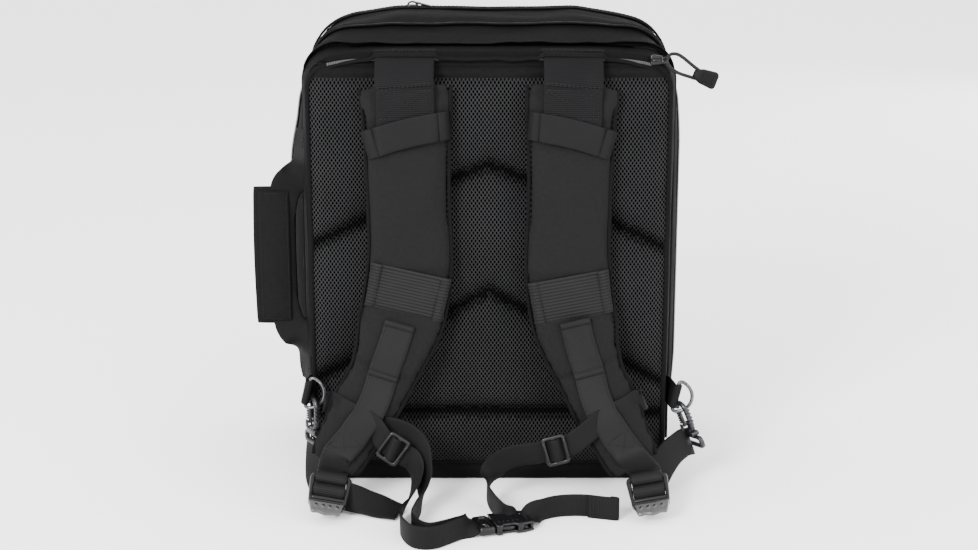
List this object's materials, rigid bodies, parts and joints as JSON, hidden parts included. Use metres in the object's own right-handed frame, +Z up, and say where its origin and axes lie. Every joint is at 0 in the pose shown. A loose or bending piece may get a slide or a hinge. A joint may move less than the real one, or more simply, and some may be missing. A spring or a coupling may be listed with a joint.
{
  "type": "trauma backpack",
  "caption": "Clamshell medical backpack with padded mesh back panel, padded shoulder straps with sternum strap, side carry handle and front pocket.",
  "frame": {"origin": "centre of the flat base, on the floor it stands on", "axes": "+Z up; -Y towards the wearer's back, where the mesh panel and harness are; +X to the right when facing the harness"},
  "size_m": [0.3979, 0.3393, 0.4119],
  "materials": {
    "pack_cloth": "matte",
    "air_mesh": "matte",
    "pad_cloth": "matte",
    "webbing": "satin",
    "elastic": "matte",
    "zipper_tape": "satin",
    "stiffener": "matte",
    "dark_metal": "satin",
    "acetal": "satin",
    "grip_rubber": "matte",
    "clear_vinyl": "gloss"
  },
  "bodies": {
    "pack": {"rear_shell": "pack_cloth", "back_panel": "air_mesh", "frame_sheet": "stiffener", "base_board": "stiffener", "drain_grommet": "dark_metal", "rear_piping": "webbing", "main_zipper_rear_tape": "zipper_tape", "rear_pocket_zipper": "zipper_tape", "elastic_loops": "elastic", "main_hinge_strip": "pack_cloth", "yoke_webbing_left": "webbing", "yoke_webbing_right": "webbing", "shoulder_pad_left": "pad_cloth", "shoulder_pad_right": "pad_cloth", "upper_keeper_left": "elastic", "upper_keeper_right": "elastic", "wide_keeper_left": "webbing", "wide_keeper_right": "webbing", "load_webbing_left": "webbing", "load_webbing_right": "webbing", "sternum_strap_left_upper": "webbing", "sternum_strap_right": "webbing", "sternum_tail": "webbing", "buckle_socket": "acetal", "adjuster_webbing_left": "webbing", "adjuster_webbing_right": "webbing", "d_ring_tab_left": "webbing", "d_ring_tab_right": "webbing", "snap_hook_left": "dark_metal", "snap_hook_right": "dark_metal", "handle_anchors": "webbing"},
    "main_cover": {"mid_shell": "pack_cloth", "main_zipper_front_tape": "zipper_tape", "front_zipper_rear_tape": "zipper_tape", "organizer_panel": "pack_cloth", "window_pouches": "clear_vinyl", "front_hinge_strip": "pack_cloth"},
    "front_flap": {"front_shell": "pack_cloth", "front_zipper_front_tape": "zipper_tape", "molle_webbing": "webbing", "loop_field": "air_mesh"},
    "main_slider_upper": {"main_slider_upper": "dark_metal"},
    "main_slider_lower": {"main_slider_lower": "dark_metal"},
    "front_slider": {"front_slider": "dark_metal"},
    "rear_pocket_slider": {"rear_pocket_slider": "dark_metal"},
    "zipper_pull": {"pull_cord": "webbing", "pull_grip": "grip_rubber"},
    "tri_glide_left": {"tri_glide_left": "acetal"},
    "tri_glide_right": {"tri_glide_right": "acetal"},
    "buckle_plug": {"buckle_plug": "acetal", "sternum_strap_left_lower": "webbing"},
    "ladder_lock_left": {"ladder_lock_left": "acetal"},
    "ladder_lock_right": {"ladder_lock_right": "acetal"},
    "d_ring_left": {"d_ring_left": "dark_metal"},
    "d_ring_right": {"d_ring_right": "dark_metal"},
    "snap_gate_left": {"snap_gate_left": "acetal"},
    "snap_gate_right": {"snap_gate_right": "acetal"},
    "side_handle": {"handle_webbing": "webbing", "handle_wrap": "pack_cloth"}
  },
  "joints": [
    {"name": "main_cover_hinge", "type": "hinge", "parent": "pack", "child": "main_cover", "pos_m": [0, -0.01, 0], "axis": [-1, 0, 0], "range_deg": [0, 130]},
    {"name": "front_flap_hinge", "type": "hinge", "parent": "main_cover", "child": "front_flap", "pos_m": [0, 0.052, 0], "axis": [-1, 0, 0], "range_deg": [0, 90]},
    {"name": "main_slider_upper_slide", "type": "slide", "parent": "pack", "child": "main_slider_upper", "axis": [0, 0, 1], "range_m": [0, 0.11]},
    {"name": "main_slider_lower_slide", "type": "slide", "parent": "pack", "child": "main_slider_lower", "axis": [0, 0, -1], "range_m": [0, 0.15]},
    {"name": "front_slider_slide", "type": "slide", "parent": "main_cover", "child": "front_slider", "axis": [1, 0, 0], "range_m": [0, 0.14]},
    {"name": "rear_pocket_slider_slide", "type": "slide", "parent": "pack", "child": "rear_pocket_slider", "axis": [-1, 0, 0], "range_m": [0, 0.032]},
    {"name": "zipper_pull_swing", "type": "hinge", "parent": "rear_pocket_slider", "child": "zipper_pull", "pos_m": [0.149, -0.098, 0.379], "axis": [0, 1, 0], "range_deg": [-30, 35]},
    {"name": "tri_glide_left_slide", "type": "slide", "parent": "pack", "child": "tri_glide_left", "axis": [0.8206, -0.0631, -0.5681], "range_m": [-0.002, 0.006]},
    {"name": "tri_glide_right_slide", "type": "slide", "parent": "pack", "child": "tri_glide_right", "axis": [-0.9718, 0.0572, -0.2287], "range_m": [-0.008, 0.008]},
    {"name": "sternum_buckle_release", "type": "slide", "parent": "pack", "child": "buckle_plug", "axis": [-0.9511, -0.309, 0], "range_m": [0, 0.022]},
    {"name": "ladder_lock_left_tilt", "type": "hinge", "parent": "pack", "child": "ladder_lock_left", "pos_m": [-0.135, -0.159, 0.028], "axis": [-0.9832, -0.0125, 0.182], "range_deg": [0, 35]},
    {"name": "ladder_lock_right_tilt", "type": "hinge", "parent": "pack", "child": "ladder_lock_right", "pos_m": [0.135, -0.159, 0.028], "axis": [-0.9832, 0.0125, -0.182], "range_deg": [0, 35]},
    {"name": "d_ring_left_swing", "type": "hinge", "parent": "pack", "child": "d_ring_left", "pos_m": [-0.159, -0.102, 0.087], "axis": [0.225, 0, 0.9744], "range_deg": [-8, 8]},
    {"name": "d_ring_right_swing", "type": "hinge", "parent": "pack", "child": "d_ring_right", "pos_m": [0.165, -0.091, 0.08], "axis": [0.225, 0, 0.9744], "range_deg": [-8, 8]},
    {"name": "snap_gate_left_press", "type": "hinge", "parent": "pack", "child": "snap_gate_left", "pos_m": [-0.158, -0.09694, 0.0585], "axis": [0.866, 0.5, 0], "range_deg": [0, 18], "stiffness_Nm_per_rad": 0.05, "springref_deg": -11.46},
    {"name": "snap_gate_right_press", "type": "hinge", "parent": "pack", "child": "snap_gate_right", "pos_m": [0.17445, -0.08566, 0.05106], "axis": [0.8403, 0.4226, 0.3395], "range_deg": [0, 18], "stiffness_Nm_per_rad": 0.05, "springref_deg": -11.46},
    {"name": "side_handle_swing", "type": "hinge", "parent": "pack", "child": "side_handle", "pos_m": [-0.168, -0.058, 0.2], "axis": [0, 0, 1], "range_deg": [-45, 45]}
  ]
}
